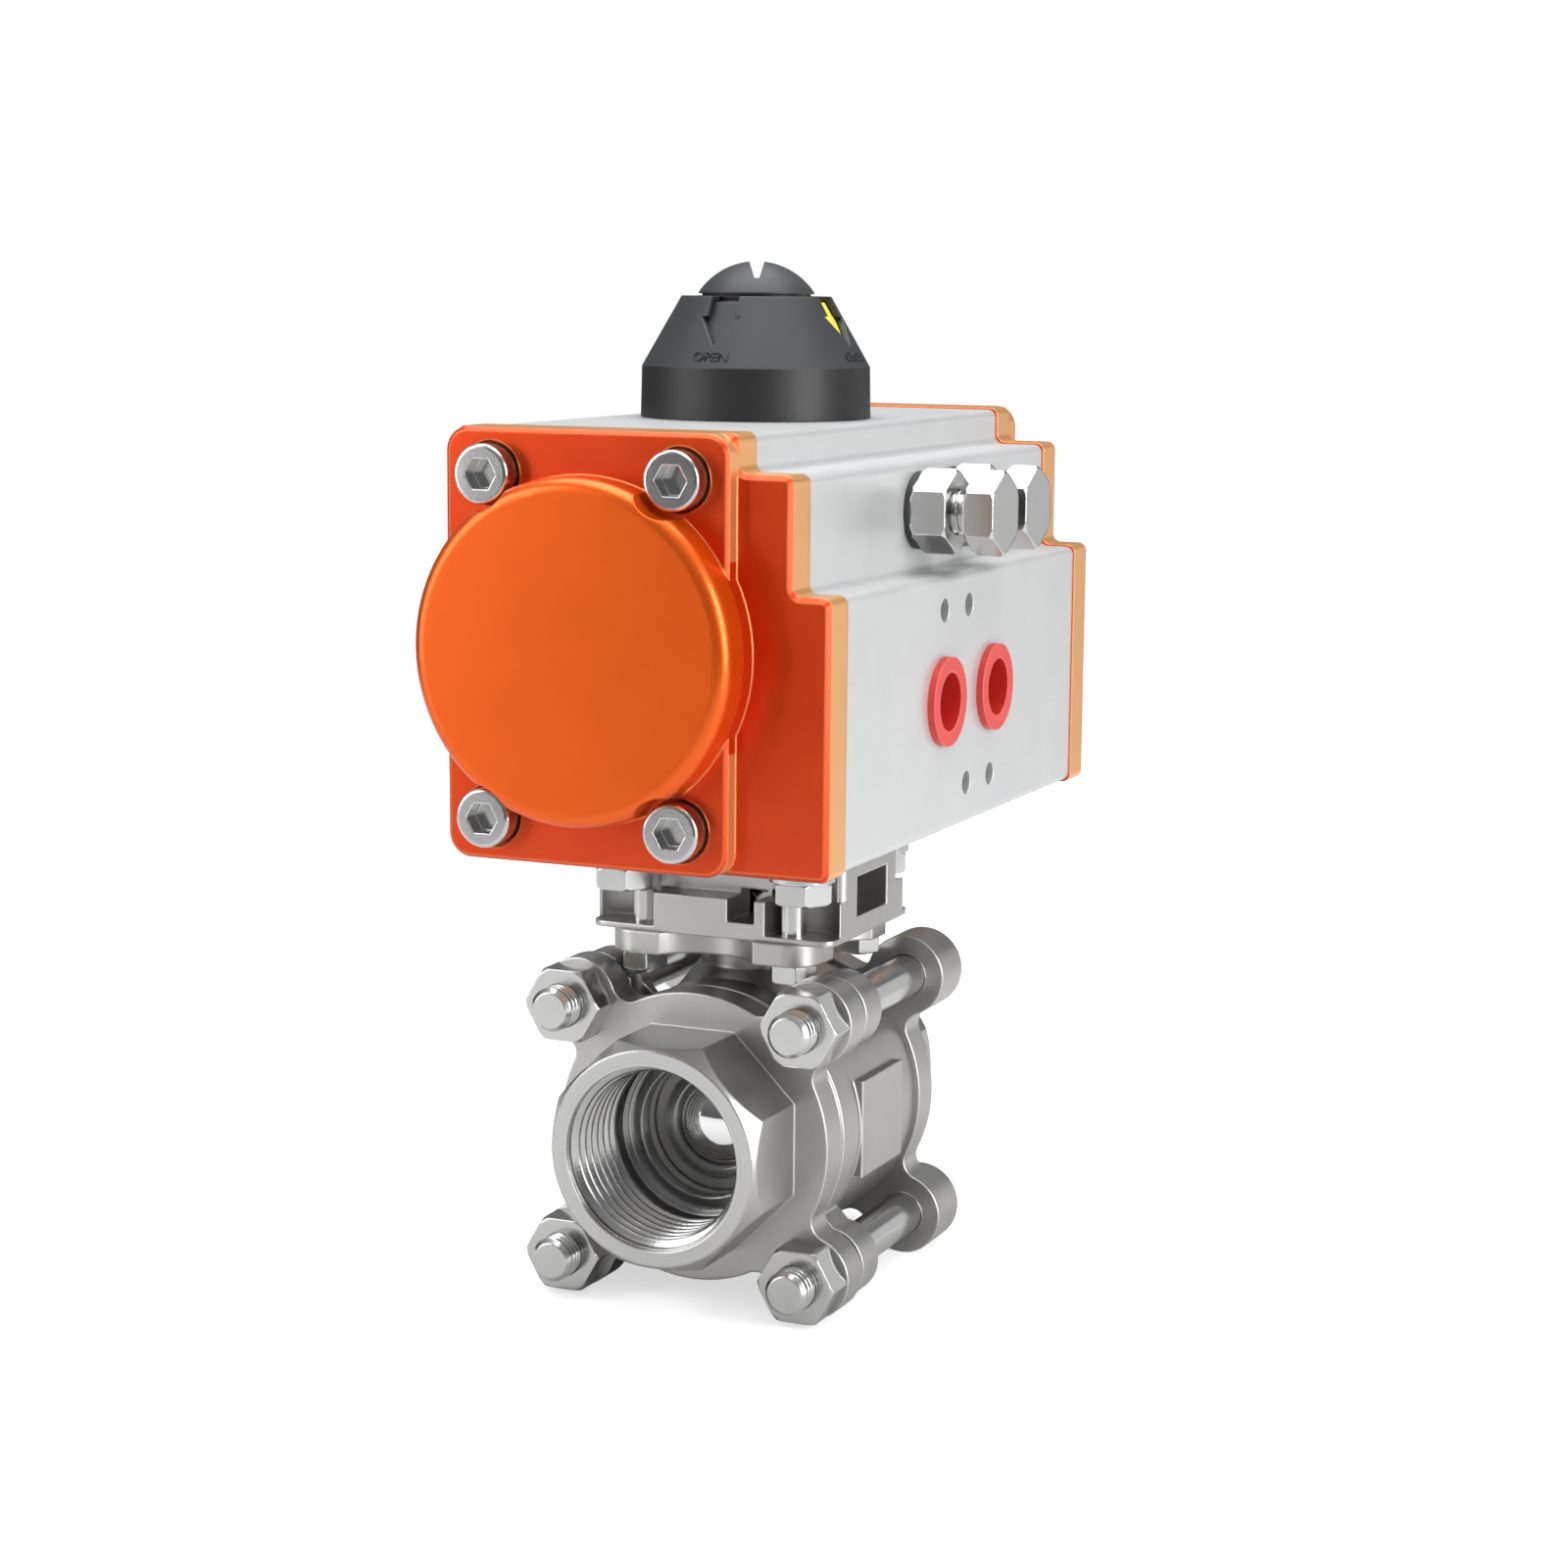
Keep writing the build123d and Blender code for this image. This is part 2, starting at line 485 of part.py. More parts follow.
def make_actuator():
    """Actuator: body, caps, pinion, pistons, stops and port plugs."""
    half_turn = Rot(0, 0, 180)
    parts["actuator_body"] = actuator_body()
    cap = actuator_cap()
    parts["front_cap"] = cap
    parts["rear_cap"] = mirror(cap, about=Plane.XZ)
    screws = [Pos(x, 0, BASE_Z + z) for x, z in cap_bolt_places()]
    parts["front_cap_screws"] = groups(cap_screw(), screws)
    parts["rear_cap_screws"] = groups(half_turn * cap_screw(), screws)
    parts["pinion"] = pinion()
    parts["stop_cam"] = stop_cam()
    parts["pinion_lower_bush"] = at_base(ring(BUSH_R, JOURNAL_R, 0.4, 18.0))
    parts["pinion_upper_bush"] = at_base(ring(BUSH_TOP_R, JOURNAL_TOP_R, 61.0, ACT_H))
    parts["thrust_washer"] = at_base(ring(9.6, JOURNAL_TOP_R, ACT_H, ACT_H + 0.8))
    parts["snap_ring"] = at_base(ring(9.0, 6.3, ACT_H + 1.0, ACT_H + 1.9) - box(4, 12, -2, 2, 70, 80))
    front = piston()
    parts["front_piston"] = front
    parts["rear_piston"] = half_turn * front
    seal = piston_ring(-SEAL_Y, SEAL_W - 0.2, CYL_R - SEAL_DEPTH + FIT)
    guide = piston_ring(-GUIDE_Y, GUIDE_W - 0.2, CYL_R - GUIDE_DEPTH + FIT)
    parts["front_piston_seal"] = seal
    parts["rear_piston_seal"] = half_turn * seal
    parts["front_piston_guide"] = guide
    parts["rear_piston_guide"] = half_turn * guide
    nut = Pos(MID_X + 1.1, 0, 0) * Rot(0, 90, 0) * (hexagon(13, 0, 6.5) - z_cyl(STOP_R - 0.02, -1, 9))
    washer = x_cyl(6.8, MID_X, MID_X + 1.1) - x_cyl(STOP_R - 0.02, 0, 99)
    for label, y in (("front", -STOP_Y), ("rear", STOP_Y)):
        place = Pos(0, y, BASE_Z + CAM_Z)
        parts[f"{label}_stop_screw"] = place * stop_screw()
        parts[f"{label}_stop_nut"] = place * nut
        parts[f"{label}_stop_seal"] = place * washer
    plug = x_cyl(7.9, LOW_X, LOW_X + 1.4) + x_cyl(AIR_R - FIT, LOW_X - 9.5, LOW_X + 0.5)
    plug -= x_cyl(5.2, LOW_X - 8.3, LOW_X + 2)
    for label, y in (("a", -PORT_Y), ("b", PORT_Y)):
        parts[f"port_plug_{label}"] = Pos(0, y, BASE_Z + PORT_Z) * plug


# ---------------------------------------------------------------- position indicator
def arrow_window():
    """Arrow-shaped prism along -Y, pointing down, open at the housing's top edge."""
    half, head = 2.7, 3.8
    tip, shoulder, top = 13.0, 18.2, HOUSING_H + 2
    points = [(-half, top), (half, top), (half, shoulder), (head, shoulder), (0, tip), (-head, shoulder),
              (-half, shoulder)]
    face = make_face(Polyline(*[(x, 0, z) for x, z in points], close=True))
    return extrude(face, 24, dir=(0, -1, 0))


def indicator_blank(shrink=0.0):
    """Cylinder, cone and flat top of the indicator, about Z from the body's top."""
    s = shrink
    top = HOUSING_H - s
    points = [(0, 0), (HOUSING_R - s, 0), (HOUSING_R - 0.2 - s, 9.2), (13.5 - s, top), (0, top)]
    face = make_face(Polyline(*[(x, 0, z) for x, z in points], close=True))
    return revolve(face, Axis.Z)


def make_indicator():
    """Position indicator: housing, rotor, flags and screw."""
    top = BASE_Z + ACT_H
    housing = indicator_blank() - indicator_blank(HOUSING_WALL) - z_cyl(DRUM_R + 0.2, 15, 30)
    for angle in (0, 90, 180, 270):
        housing -= Rot(0, 0, angle) * arrow_window()
    parts["indicator_housing"] = Pos(0, 0, top) * housing
    drum = z_cyl(DRUM_R, DRUM_LOW, DRUM_TOP)
    shell = (indicator_blank(HOUSING_WALL + 0.25) & z_cyl(20, DRUM_LOW, DRUM_TOP)) - drum
    flag = shell & box(9, 19, -6.5, 6.5, 10, 22)
    parts["indicator_flags"] = groups(flag, [Pos(0, 0, top), Pos(0, 0, top) * Rot(0, 0, 180)])
    rotor = drum + (shell & box(-6.0, 6.0, -19, 19, 10, 22))
    rotor -= square_bar(TOP_HALF + FIT, 0, 15.2) & z_cyl(5.7, -1, 30)
    rotor -= z_cyl(2.6, 0, 30)
    parts["indicator_rotor"] = Pos(0, 0, top) * rotor
    dome = Pos(0, 0, DOME_TOP - DOME_R) * Sphere(DOME_R)
    dome &= z_cyl(10.4, 22.1, 30)
    dome += z_cyl(9.8, 21.1, 22.2) + z_cyl(2.45, 6.0, 22)
    outline = Polyline((-1.6, -15, 28.6), (1.6, -15, 28.6), (0.5, -15, 24.9), (-0.5, -15, 24.9), close=True)
    slot = extrude(make_face(outline), 30, dir=(0, 1, 0))
    parts["indicator_screw"] = Pos(0, 0, top) * (dome - Rot(0, 0, SLOT_TURN) * slot)


def export_all():
    """Writes one STEP file for each named node."""
    os.makedirs("parts", exist_ok=True)
    for name, shape in parts.items():
        export_step(Pos(0, FACE_TO_FACE / 2, 0) * shape, f"parts/{name}.step")
    print(len(parts), "nodes written")


make_valve()
make_tie_bolts()
make_bracket()
make_actuator()
make_indicator()
export_all()
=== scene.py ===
# %% [markdown]
# # A pneumatic actuated ball valve
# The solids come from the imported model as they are. This script gives each of them the
# finish of the real part, and adds three things that are easier as surfaces than as
# solids: the pipe thread in both ports, and the raised words on the position indicator.

# %% Load the frame
import json
import math

import bpy
import numpy as np
from mathutils import Matrix, Vector


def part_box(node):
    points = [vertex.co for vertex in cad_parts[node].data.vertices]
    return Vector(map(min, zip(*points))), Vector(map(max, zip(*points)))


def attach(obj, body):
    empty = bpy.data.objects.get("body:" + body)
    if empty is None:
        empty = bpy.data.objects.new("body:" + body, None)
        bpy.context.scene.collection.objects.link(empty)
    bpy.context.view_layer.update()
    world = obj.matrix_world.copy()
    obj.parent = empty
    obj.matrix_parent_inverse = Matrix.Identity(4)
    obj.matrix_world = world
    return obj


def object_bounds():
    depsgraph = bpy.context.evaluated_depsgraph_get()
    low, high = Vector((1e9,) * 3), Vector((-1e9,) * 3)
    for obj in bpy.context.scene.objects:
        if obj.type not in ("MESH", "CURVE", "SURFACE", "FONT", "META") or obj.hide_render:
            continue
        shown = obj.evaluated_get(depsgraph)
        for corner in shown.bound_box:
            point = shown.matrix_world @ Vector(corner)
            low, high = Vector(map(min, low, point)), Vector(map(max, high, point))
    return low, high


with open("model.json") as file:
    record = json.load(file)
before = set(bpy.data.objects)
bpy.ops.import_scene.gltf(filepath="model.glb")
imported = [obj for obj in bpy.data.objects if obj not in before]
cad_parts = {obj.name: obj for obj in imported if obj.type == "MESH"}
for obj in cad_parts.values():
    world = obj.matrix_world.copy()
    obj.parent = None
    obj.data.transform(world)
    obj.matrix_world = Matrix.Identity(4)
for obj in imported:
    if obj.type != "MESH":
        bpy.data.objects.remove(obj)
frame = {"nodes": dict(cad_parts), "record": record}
cad_low, cad_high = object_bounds()
size = cad_high - cad_low
print("object", [round(v * 1000, 1) for v in size], "mm, nodes", len(frame["nodes"]))

# %% [markdown]
# ## Camera
# A long lens a little above the object keeps the actuator's edges nearly parallel. The
# camera's axes are worked out from three angles: azimuth, elevation and a slight roll.
# The plain view transform keeps the strong orange, which a filmic one would wash out.

# %% Camera
AZIMUTH, ELEVATION, ROLL = math.radians(23.74), math.radians(8.95), math.radians(0.51)
CAMERA_AT = Vector((0.2426, -0.4949, 0.1537))
LENS_MM, SENSOR_MM = 74.3, 36.0
look = Vector((-math.sin(AZIMUTH) * math.cos(ELEVATION),
               math.cos(AZIMUTH) * math.cos(ELEVATION), -math.sin(ELEVATION)))
right = look.cross(Vector((0, 0, 1))).normalized()
up = right.cross(look)
cam_x = math.cos(ROLL) * right + math.sin(ROLL) * up
cam_y = math.cos(ROLL) * up - math.sin(ROLL) * right
lens = bpy.data.cameras.new("camera")
lens.lens, lens.sensor_width = LENS_MM, SENSOR_MM
camera = bpy.data.objects.new("camera", lens)
bpy.context.collection.objects.link(camera)
turned_to = Matrix((cam_x, cam_y, -look)).transposed().to_4x4()
camera.matrix_world = Matrix.Translation(CAMERA_AT) @ turned_to
bpy.context.scene.camera = camera
bpy.context.scene.view_settings.view_transform = "Standard"
print("camera looks along", [round(v, 3) for v in look])

# %% [markdown]
# ## Light
# Bright metal shows what is around it. Four large soft boxes give long pale reflections:
# the far one is what the body's port side and the hexagon heads mirror. A surrounding
# that darkens towards the horizon leaves dark gaps between them, so the castings don't
# look flat.
# The surrounding is white only where the lens sees it directly.

# %% Studio
def soft_box(name, place, aim, width, height, watts):
    """Rectangular lamp at place, turned so that it shines at aim."""
    lamp = bpy.data.lights.new(name, "AREA")
    lamp.shape, lamp.size, lamp.size_y, lamp.energy = "RECTANGLE", width, height, watts
    thing = bpy.data.objects.new(name, lamp)
    thing.location = place
    thing.rotation_euler = (Vector(aim) - Vector(place)).to_track_quat("-Z", "Y").to_euler()
    bpy.context.collection.objects.link(thing)


middle = (cad_low + cad_high) / 2
soft_box("left_box", (-0.60, -0.55, 0.30), middle, 0.45, 0.7, 4.0)
soft_box("right_box", (0.75, -0.15, 0.25), middle, 0.4, 0.6, 6.0)
soft_box("top_box", (0.0, 0.05, 0.80), middle, 0.8, 0.8, 8.0)
soft_box("far_box", (0.62, 0.95, 0.05), middle, 0.7, 0.6, 0.9)

world = bpy.data.worlds.new("studio")
bpy.context.scene.world = world
world.use_nodes = True
tree = world.node_tree
tree.nodes.clear()
ray = tree.nodes.new("ShaderNodeLightPath")
around, white = tree.nodes.new("ShaderNodeBackground"), tree.nodes.new("ShaderNodeBackground")
direction = tree.nodes.new("ShaderNodeTexCoord")
height = tree.nodes.new("ShaderNodeSeparateXYZ")
shade = tree.nodes.new("ShaderNodeValToRGB")
low_stop, high_stop = shade.color_ramp.elements
low_stop.position, low_stop.color = 0.0, (0.16, 0.16, 0.165, 1)
high_stop.position, high_stop.color = 0.85, (0.85, 0.86, 0.88, 1)
shade.color_ramp.elements.new(0.30).color = (0.30, 0.30, 0.31, 1)
tree.links.new(direction.outputs["Generated"], height.inputs[0])
tree.links.new(height.outputs["Z"], shade.inputs[0])
tree.links.new(shade.outputs[0], around.inputs["Color"])
around.inputs["Strength"].default_value = 0.7
white.inputs["Color"].default_value = (1, 1, 1, 1)
both = tree.nodes.new("ShaderNodeMixShader")
out = tree.nodes.new("ShaderNodeOutputWorld")
tree.links.new(ray.outputs["Is Camera Ray"], both.inputs[0])
tree.links.new(around.outputs[0], both.inputs[1])
tree.links.new(white.outputs[0], both.inputs[2])
tree.links.new(both.outputs[0], out.inputs[0])

FLOOR_R, FLOOR_SIDES = 0.62, 64
PAPER = 0.62
turn = np.linspace(0, 2 * np.pi, FLOOR_SIDES + 1)[:-1]
rim = np.c_[middle.x + FLOOR_R * np.cos(turn), middle.y + FLOOR_R * np.sin(turn),
            0 * turn + cad_low.z]
floor_mesh = bpy.data.meshes.new("floor")
floor_mesh.from_pydata(rim.tolist(), [], [list(range(FLOOR_SIDES))])
floor = bpy.data.objects.new("floor", floor_mesh)
bpy.context.collection.objects.link(floor)
paper = bpy.data.materials.new("white_paper")
paper.use_nodes = True
sheet = paper.node_tree.nodes["Principled BSDF"]
sheet.inputs["Base Color"].default_value = (PAPER, PAPER, PAPER, 1)
sheet.inputs["Roughness"].default_value = 0.9
sheet.inputs["Emission Color"].default_value = (1, 1, 1, 1)
seen = paper.node_tree.nodes.new("ShaderNodeLightPath")
share = paper.node_tree.nodes.new("ShaderNodeMath")
share.operation = "MULTIPLY"
share.inputs[1].default_value = PAPER
paper.node_tree.links.new(seen.outputs["Is Camera Ray"], share.inputs[0])
paper.node_tree.links.new(share.outputs[0], sheet.inputs["Emission Strength"])
floor_mesh.materials.append(paper)
print("floor at", round(cad_low.z * 1000, 1), "mm")

# %% [markdown]
# ## Shared effects
# Three effects are used by many finishes, so each is one node group. The first finds the
# edges: a bevelled normal differs from the true one only near an edge. It gives both a
# painted highlight along the edges and the small rounding that every real edge has. The
# second is a grain that can be stretched along the object, and the third is the rings that
# a lathe leaves.

# %% Node group helper
def new_group(name, inputs, outputs):
    """An empty node group with float inputs and the named outputs of the given kinds."""
    made = bpy.data.node_groups.new(name, "ShaderNodeTree")
    for label, value in inputs:
        socket = made.interface.new_socket(label, in_out="INPUT", socket_type="NodeSocketFloat")
        socket.default_value = value
    for label, kind in outputs:
        made.interface.new_socket(label, in_out="OUTPUT", socket_type=kind)
    return made, made.nodes.new("NodeGroupInput"), made.nodes.new("NodeGroupOutput")


def maths(tree, operation, *values):
    """A Math node; each value is a number or a socket. Returns its output."""
    node = tree.nodes.new("ShaderNodeMath")
    node.operation = operation
    for socket, value in zip(node.inputs, values):
        if isinstance(value, (int, float)):
            socket.default_value = value
        else:
            tree.links.new(value, socket)
    return node.outputs[0]


# %% Edge group
# Painted highlight: the Edge output marks where a paler colour is painted along the edges; the Normal output
# rounds them.
edge_group, inn, out = new_group("edge_highlight_and_rounding", [("Radius", 0.0004)],
                                 [("Edge", "NodeSocketFloat"), ("Normal", "NodeSocketVector")])
bevel = edge_group.nodes.new("ShaderNodeBevel")
bevel.samples = 6
geometry = edge_group.nodes.new("ShaderNodeNewGeometry")
dot = edge_group.nodes.new("ShaderNodeVectorMath")
dot.operation = "DOT_PRODUCT"
edge_group.links.new(inn.outputs["Radius"], bevel.inputs["Radius"])
edge_group.links.new(bevel.outputs[0], dot.inputs[0])
edge_group.links.new(geometry.outputs["Normal"], dot.inputs[1])
turned_away = maths(edge_group, "SUBTRACT", 1.0, dot.outputs["Value"])
edge_group.links.new(maths(edge_group, "MULTIPLY", turned_away, 5.0), out.inputs["Edge"])
edge_group.links.new(bevel.outputs[0], out.inputs["Normal"])

# %% Grain group
grain_group, inn, out = new_group(
    "grain", [("Along X", 1.0), ("Along Y", 1.0), ("Along Z", 1.0)],
    [("Fine", "NodeSocketFloat"), ("Cloud", "NodeSocketFloat")])
where = grain_group.nodes.new("ShaderNodeTexCoord")
stretch = grain_group.nodes.new("ShaderNodeCombineXYZ")
scaled = grain_group.nodes.new("ShaderNodeVectorMath")
scaled.operation = "MULTIPLY"
for axis in "XYZ":
    grain_group.links.new(inn.outputs["Along " + axis], stretch.inputs[axis])
grain_group.links.new(where.outputs["Object"], scaled.inputs[0])
grain_group.links.new(stretch.outputs[0], scaled.inputs[1])
fine, cloud = grain_group.nodes.new("ShaderNodeTexNoise"), grain_group.nodes.new("ShaderNodeTexNoise")
fine.inputs["Scale"].default_value, fine.inputs["Detail"].default_value = 2600.0, 3.0
cloud.inputs["Scale"].default_value, cloud.inputs["Detail"].default_value = 110.0, 4.0
grain_group.links.new(scaled.outputs[0], fine.inputs["Vector"])
grain_group.links.new(where.outputs["Object"], cloud.inputs["Vector"])
grain_group.links.new(fine.outputs["Fac"], out.inputs["Fine"])
grain_group.links.new(cloud.outputs["Fac"], out.inputs["Cloud"])

# %% Lathe ring group
lathe_group, inn, out = new_group("lathe_rings", [("Rings per metre", 2500.0)],
                                  [("Radius", "NodeSocketFloat"), ("Rings", "NodeSocketFloat")])
where = lathe_group.nodes.new("ShaderNodeTexCoord")
split = lathe_group.nodes.new("ShaderNodeSeparateXYZ")
lathe_group.links.new(where.outputs["Object"], split.inputs[0])
square_x = maths(lathe_group, "MULTIPLY", split.outputs["X"], split.outputs["X"])
square_z = maths(lathe_group, "MULTIPLY", split.outputs["Z"], split.outputs["Z"])
radius = maths(lathe_group, "SQRT", maths(lathe_group, "ADD", square_x, square_z))
phase = maths(lathe_group, "MULTIPLY", maths(lathe_group, "ADD", radius, split.outputs["Y"]),
              inn.outputs["Rings per metre"])
rings = lathe_group.nodes.new("ShaderNodeTexNoise")
rings.noise_dimensions = "1D"
rings.inputs["Scale"].default_value, rings.inputs["Detail"].default_value = 1.0, 2.0
lathe_group.links.new(phase, rings.inputs["W"])
lathe_group.links.new(radius, out.inputs["Radius"])
lathe_group.links.new(rings.outputs["Fac"], out.inputs["Rings"])
print("node groups", [g.name for g in bpy.data.node_groups])

# %% [markdown]
# ## Finishes
# One function makes a finish from its colour, metal and roughness ranges. Real surfaces
# vary, so the grain moves the colour and the roughness a little and the cloud moves them
# over centimetres. The edge mask lays a paler colour along the edges: a painted highlight.

# %% Finish function
def mix_colour(tree, factor, first, second):
    """A Mix node between two colours, each a tuple or a socket."""
    node = tree.nodes.new("ShaderNodeMix")
    node.data_type = "RGBA"
    tree.links.new(factor, node.inputs["Factor"])
    for socket, value in ((node.inputs[6], first), (node.inputs[7], second)):
        if isinstance(value, tuple):
            socket.default_value = (*value, 1.0)
        else:
            tree.links.new(value, socket)
    return node.outputs[2]


def blend_value(tree, factor, low, high):
    """low + (high - low) * factor, with low and high numbers."""
    return maths(tree, "MULTIPLY_ADD", factor, high - low, low)


def finish(name, dark, light, edge, metal, rough, bump, stretch=(1.0, 1.0, 1.0), coat=0.0, round_m=0.0004):
    """A finish that runs from dark to light with the cloud, with a painted highlight colour on the edges.

    rough is (lowest, highest) roughness, bump the height of the grain in metres, and
    stretch how much finer the grain is along each axis."""
    made = bpy.data.materials.new(name)
    made.use_nodes = True
    t = made.node_tree
    shader = t.nodes["Principled BSDF"]
    shader.inputs["Metallic"].default_value = metal
    shader.inputs["Coat Weight"].default_value = coat
    shader.inputs["Coat Roughness"].default_value = 0.15
    grain, edge_highlight_node = t.nodes.new("ShaderNodeGroup"), t.nodes.new("ShaderNodeGroup")
    grain.node_tree, edge_highlight_node.node_tree = grain_group, edge_group
    edge_highlight_node.inputs["Radius"].default_value = round_m
    for axis, value in zip("XYZ", stretch):
        grain.inputs["Along " + axis].default_value = value
    slow = maths(t, "MULTIPLY", grain.outputs["Cloud"], 0.6)
    both = maths(t, "MULTIPLY_ADD", grain.outputs["Fine"], 0.4, slow)
    body = mix_colour(t, both, dark, light)
    # Painted highlight: the edge mask mixes the paler edge colour in along every edge.
    t.links.new(mix_colour(t, edge_highlight_node.outputs["Edge"], body, edge), shader.inputs["Base Color"])
    t.links.new(blend_value(t, both, *rough), shader.inputs["Roughness"])
    hump = t.nodes.new("ShaderNodeBump")
    hump.inputs["Distance"].default_value = bump
    hump.inputs["Strength"].default_value = 0.6
    t.links.new(grain.outputs["Fine"], hump.inputs["Height"])
    t.links.new(edge_highlight_node.outputs["Normal"], hump.inputs["Normal"])
    t.links.new(hump.outputs[0], shader.inputs["Normal"])
    return made


# %% [markdown]
# ### The finishes of this valve
# The end caps are die cast and anodised orange, and the edges of the cast steps look
# paler. The body is an extrusion, so its grain is long along the bore. The valve is an
# investment casting that was blasted with glass beads: a fine, even, slightly mottled
# matt grey. The fasteners and the ball are bright.

# %% Make the finishes
# The third colour of each finish is the painted highlight along its edges.
looks = {
    "cap_orange": finish("orange_anodised", (0.62, 0.040, 0.001), (0.72, 0.062, 0.002), (0.90, 0.34, 0.11),
                         0.72, (0.26, 0.40), 0.00001, coat=0.25, round_m=0.0006),
    "anodised_body": finish("extruded_aluminium", (0.56, 0.565, 0.565), (0.68, 0.685, 0.685),
                            (0.80, 0.80, 0.80),
                            0.60, (0.34, 0.48), 0.000012, stretch=(1.0, 0.02, 1.0)),
    "cast_stainless": finish("bead_blasted_casting", (0.36, 0.355, 0.345), (0.55, 0.545, 0.53),
                             (0.75, 0.75, 0.74),
                             1.0, (0.28, 0.46), 0.00004, round_m=0.0006),
    "bright_fastener": finish("bright_fastener", (0.46, 0.46, 0.455), (0.62, 0.62, 0.61), (0.80, 0.80, 0.80),
                              1.0, (0.12, 0.28), 0.00001),
    "polished_ball": finish("polished_ball", (0.78, 0.78, 0.78), (0.88, 0.88, 0.88), (0.95, 0.95, 0.95),
                            1.0, (0.03, 0.09), 0.000002),
    "turned_steel": finish("turned_steel", (0.50, 0.50, 0.49), (0.68, 0.68, 0.67), (0.85, 0.85, 0.85),
                           1.0, (0.18, 0.32), 0.00001, stretch=(0.1, 0.1, 1.0)),
    "piston_metal": finish("piston_metal", (0.48, 0.49, 0.50), (0.62, 0.63, 0.64), (0.8, 0.8, 0.8),
                           0.9, (0.35, 0.5), 0.00002),
    "black_rubber": finish("black_rubber", (0.012, 0.012, 0.012), (0.03, 0.03, 0.03), (0.06, 0.06, 0.06),
                           0.0, (0.55, 0.75), 0.00002),
    "white_plastic": finish("white_plastic", (0.74, 0.74, 0.70), (0.84, 0.84, 0.81), (0.9, 0.9, 0.88),
                            0.0, (0.3, 0.45), 0.00001),
    "indicator_black": finish("moulded_black", (0.018, 0.019, 0.020), (0.030, 0.031, 0.033),
                              (0.07, 0.07, 0.075),
                              0.0, (0.42, 0.56), 0.00002),
    "flag_yellow": finish("moulded_yellow", (0.66, 0.58, 0.05), (0.78, 0.70, 0.10), (0.9, 0.85, 0.3),
                          0.0, (0.3, 0.42), 0.00001),
    "plug_red": finish("moulded_red", (0.50, 0.018, 0.012), (0.62, 0.036, 0.024), (0.85, 0.22, 0.18),
                       0.0, (0.25, 0.38), 0.00001, coat=0.15),
}
# The raised letters are moulded with the housing and inked blacker than it.
ink = finish("letter_black", (0.002, 0.002, 0.002), (0.005, 0.005, 0.005), (0.01, 0.01, 0.01),
             0.0, (0.25, 0.35), 0.000005)
print("finishes", len(looks) + 1)

# %% [markdown]
# ### Where the casting is machined
# Each end piece is cast, but its mouth, its thread and its bore are turned. The same
# finish changes there: inside a radius it takes the bright colour and the lathe's rings.

# %% Machined areas
def machined(base, wall_r, ring_r, half_length, centre_y):
    """A copy of the casting's finish that is bright and ringed inside wall_r, and on the
    flat mouth ring up to ring_r, further than half_length from centre_y along the flow."""
    made = base.copy()
    made.name = "machined_casting"
    t = made.node_tree
    shader = t.nodes["Principled BSDF"]
    lathe_or_boss_highlight = t.nodes.new("ShaderNodeGroup")
    lathe_or_boss_highlight.node_tree = lathe_group
    here = t.nodes.new("ShaderNodeTexCoord")
    split = t.nodes.new("ShaderNodeSeparateXYZ")
    t.links.new(here.outputs["Object"], split.inputs[0])
    off = maths(t, "ABSOLUTE", maths(t, "SUBTRACT", split.outputs["Y"], centre_y))
    radius = lathe_or_boss_highlight.outputs["Radius"]
    ring = maths(t, "MULTIPLY", maths(t, "LESS_THAN", radius, ring_r),
                 maths(t, "GREATER_THAN", off, half_length))
    mask = maths(t, "MAXIMUM", maths(t, "LESS_THAN", radius, wall_r), ring)
    old_colour = shader.inputs["Base Color"].links[0].from_socket
    old_rough = shader.inputs["Roughness"].links[0].from_socket
    bright = mix_colour(t, lathe_or_boss_highlight.outputs["Rings"], (0.40, 0.40, 0.395), (0.60, 0.60, 0.59))
    t.links.new(mix_colour(t, mask, old_colour, bright), shader.inputs["Base Color"])
    smooth = maths(t, "MULTIPLY", old_rough, maths(t, "MULTIPLY_ADD", mask, -0.45, 1.0))
    t.links.new(smooth, shader.inputs["Roughness"])
    rings = t.nodes.new("ShaderNodeBump")
    rings.inputs["Distance"].default_value = 0.000006
    t.links.new(maths(t, "MULTIPLY", mask, lathe_or_boss_highlight.outputs["Rings"]), rings.inputs["Height"])
    t.links.new(shader.inputs["Normal"].links[0].from_socket, rings.inputs["Normal"])
    t.links.new(rings.outputs[0], shader.inputs["Normal"])
    return made
